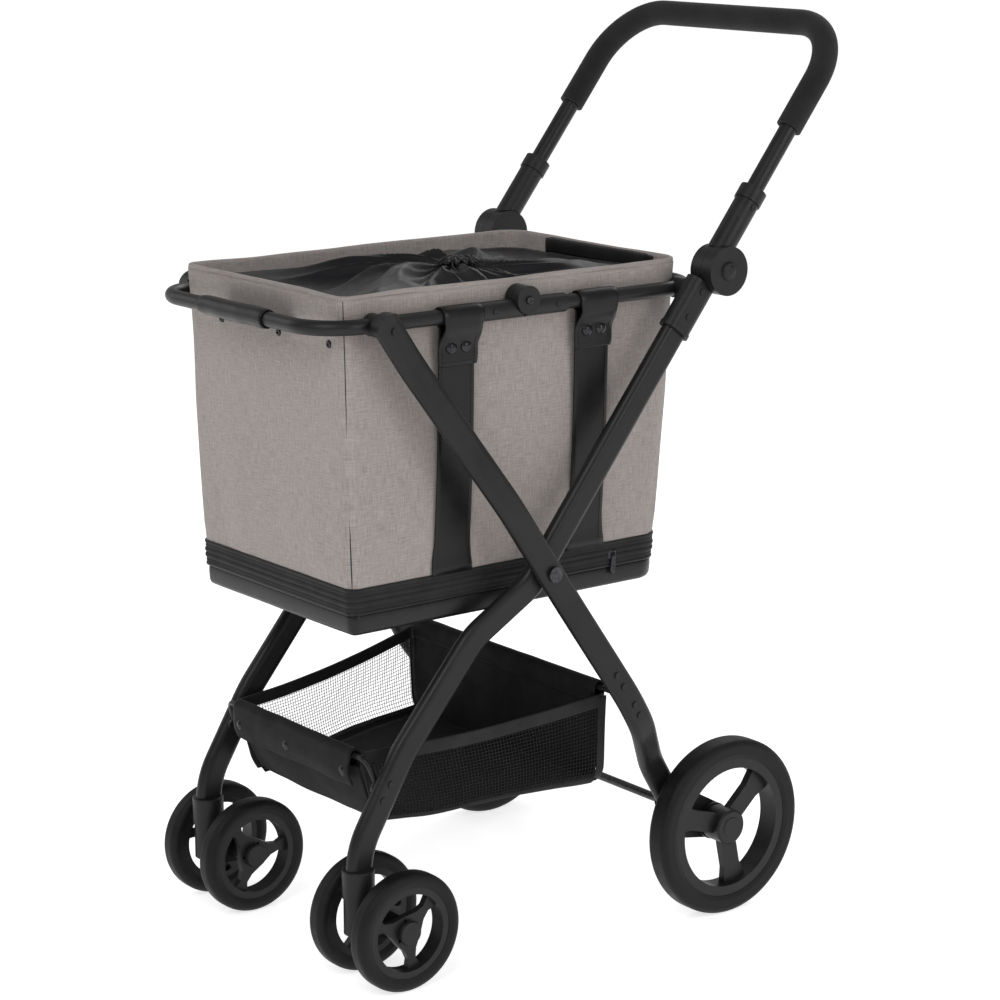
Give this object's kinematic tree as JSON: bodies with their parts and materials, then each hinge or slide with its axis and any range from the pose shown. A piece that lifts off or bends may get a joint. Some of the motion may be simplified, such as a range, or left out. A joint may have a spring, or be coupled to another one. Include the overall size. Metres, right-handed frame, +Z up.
{
  "type": "folding shopping trolley",
  "caption": "Folding fabric shopping trolley: taupe basket bag in a hinged rim on a crossed-leg black frame, mesh basket below, tilting U handle, large rear wheels and swivelling front casters.",
  "frame": {"origin": "on the floor, under the middle of the whole trolley's bounding box", "axes": "+Z up, -Y the way the trolley is pushed (front casters), +X its left side"},
  "size_m": [0.468, 0.7117, 0.9994],
  "materials": {
    "frame_paint": "satin black powder coat on flat oval legs, rim and handle tubes",
    "wire_paint": "satin black wire and axle rod",
    "joint_plastic": "fine-grained black moulding",
    "wheel_plastic": "black moulded wheel",
    "bolt_steel": "blackened bolt",
    "grip_foam": "closed-cell foam, very matt",
    "tyre_rubber": "smooth matt tyre",
    "melange_cloth": "taupe and grey slubbed weave",
    "base_coating": "smooth coated cloth, low sheen",
    "zip_tape": "black zip tape",
    "strap_leatherette": "black leatherette, soft gloss",
    "liner_nylon": "thin black nylon with a slight sheen",
    "basket_cloth": "black polyester cloth",
    "basket_mesh": "open black mesh"
  },
  "bodies": {
    "front_frame": {"bag_base": "base_coating", "bag_liner": "liner_nylon", "bag_shell": "melange_cloth", "bag_zip": "zip_tape", "basket_hoop_front": "wire_paint", "basket_mesh": "basket_mesh", "basket_panel_front": "basket_cloth", "basket_panel_rear": "basket_cloth", "caster_socket_left": "joint_plastic", "caster_socket_right": "joint_plastic", "cord_lock": "joint_plastic", "front_leg_left": "frame_paint", "front_leg_right": "frame_paint", "joint_lower_left": "joint_plastic", "joint_lower_right": "joint_plastic", "pivot_bolt_left": "bolt_steel", "pivot_bolt_right": "bolt_steel", "rim_bracket_left": "joint_plastic", "rim_bracket_right": "joint_plastic", "rim_flap_front": "strap_leatherette", "strap_front_left": "strap_leatherette", "strap_front_right": "strap_leatherette", "strap_rear_left": "strap_leatherette", "strap_rear_right": "strap_leatherette"},
    "handle": {"handle_tube": "frame_paint", "handle_grip": "grip_foam", "joint_upper_left": "joint_plastic", "joint_upper_right": "joint_plastic"},
    "rear_frame": {"rear_leg_left": "frame_paint", "rear_leg_right": "frame_paint", "rear_leg_cap_left": "joint_plastic", "rear_leg_cap_right": "joint_plastic", "axle_bracket_left": "joint_plastic", "axle_bracket_right": "joint_plastic", "rear_axle": "wire_paint", "basket_hoop_rear": "wire_paint"},
    "rim_rear": {"rim_tube_rear": "frame_paint", "rim_knuckle_rear_left": "joint_plastic", "rim_knuckle_rear_right": "joint_plastic"},
    "rim_front": {"rim_tube_front": "frame_paint", "rim_knuckle_front_left": "joint_plastic", "rim_knuckle_front_right": "joint_plastic"},
    "button_left": {"joint_button_left": "joint_plastic"},
    "rear_wheel_left": {"rear_tyre_left": "tyre_rubber", "rear_wheel_left": "wheel_plastic"},
    "caster_left": {"caster_fork_left": "joint_plastic"},
    "front_wheel_outer_left": {"front_tyre_outer_left": "tyre_rubber", "front_wheel_outer_left": "wheel_plastic"},
    "front_wheel_inner_left": {"front_tyre_inner_left": "tyre_rubber", "front_wheel_inner_left": "wheel_plastic"},
    "button_right": {"joint_button_right": "joint_plastic"},
    "rear_wheel_right": {"rear_tyre_right": "tyre_rubber", "rear_wheel_right": "wheel_plastic"},
    "caster_right": {"caster_fork_right": "joint_plastic"},
    "front_wheel_outer_right": {"front_tyre_outer_right": "tyre_rubber", "front_wheel_outer_right": "wheel_plastic"},
    "front_wheel_inner_right": {"front_tyre_inner_right": "tyre_rubber", "front_wheel_inner_right": "wheel_plastic"}
  },
  "joints": [
    {"name": "frame_fold", "type": "hinge", "parent": "front_frame", "child": "rear_frame", "pos_m": [0, -0.09145, 0.431], "axis": [-1, 0, 0], "range_deg": [0, 37], "deforming": ["bag_shell", "bag_zip", "bag_base", "bag_liner", "cord_lock", "rim_flap_front", "basket_mesh", "basket_panel_front", "basket_panel_rear", "strap_front_left", "strap_front_right", "strap_rear_left", "strap_rear_right"]},
    {"name": "rim_rear_fold", "type": "hinge", "parent": "front_frame", "child": "rim_rear", "pos_m": [0, 0.12555, 0.709], "axis": [1, 0, 0], "range_deg": [0, 38.25]},
    {"name": "rim_mid_fold", "type": "hinge", "parent": "rim_rear", "child": "rim_front", "pos_m": [0, -0.09345, 0.718], "axis": [-1, 0, 0], "range_deg": [0, 123.73]},
    {"name": "handle_tilt", "type": "hinge", "parent": "front_frame", "child": "handle", "pos_m": [0, 0.15355, 0.73], "axis": [1, 0, 0], "range_deg": [-40, 90]},
    {"name": "button_left_push", "type": "slide", "parent": "handle", "child": "button_left", "axis": [-1, 0, 0], "range_m": [0, 0.003], "stiffness_N_per_m": 900, "springref_m": -0.002},
    {"name": "rear_wheel_left_spin", "type": "hinge", "parent": "rear_frame", "child": "rear_wheel_left", "pos_m": [0.219, 0.15155, 0.1015], "axis": [1, 0, 0], "continuous": true},
    {"name": "caster_left_swivel", "type": "hinge", "parent": "front_frame", "child": "caster_left", "pos_m": [0.148, -0.30145, 0.1], "axis": [0, 0, 1], "continuous": true},
    {"name": "front_wheel_outer_left_spin", "type": "hinge", "parent": "caster_left", "child": "front_wheel_outer_left", "pos_m": [0.186, -0.26845, 0.0655], "axis": [1, 0, 0], "continuous": true},
    {"name": "front_wheel_inner_left_spin", "type": "hinge", "parent": "caster_left", "child": "front_wheel_inner_left", "pos_m": [0.11, -0.26845, 0.0655], "axis": [1, 0, 0], "continuous": true},
    {"name": "button_right_push", "type": "slide", "parent": "handle", "child": "button_right", "axis": [1, 0, 0], "range_m": [0, 0.003], "stiffness_N_per_m": 900, "springref_m": -0.002},
    {"name": "rear_wheel_right_spin", "type": "hinge", "parent": "rear_frame", "child": "rear_wheel_right", "pos_m": [-0.219, 0.15155, 0.1015], "axis": [1, 0, 0], "continuous": true},
    {"name": "caster_right_swivel", "type": "hinge", "parent": "front_frame", "child": "caster_right", "pos_m": [-0.148, -0.30145, 0.1], "axis": [0, 0, 1], "continuous": true},
    {"name": "front_wheel_outer_right_spin", "type": "hinge", "parent": "caster_right", "child": "front_wheel_outer_right", "pos_m": [-0.186, -0.26845, 0.0655], "axis": [1, 0, 0], "continuous": true},
    {"name": "front_wheel_inner_right_spin", "type": "hinge", "parent": "caster_right", "child": "front_wheel_inner_right", "pos_m": [-0.11, -0.26845, 0.0655], "axis": [1, 0, 0], "continuous": true}
  ],
  "couplings": [
    {"joint": "rim_rear_fold", "follows": "frame_fold", "ratio": 1.0323},
    {"joint": "rim_mid_fold", "follows": "frame_fold", "ratio": 3.3428}
  ]
}
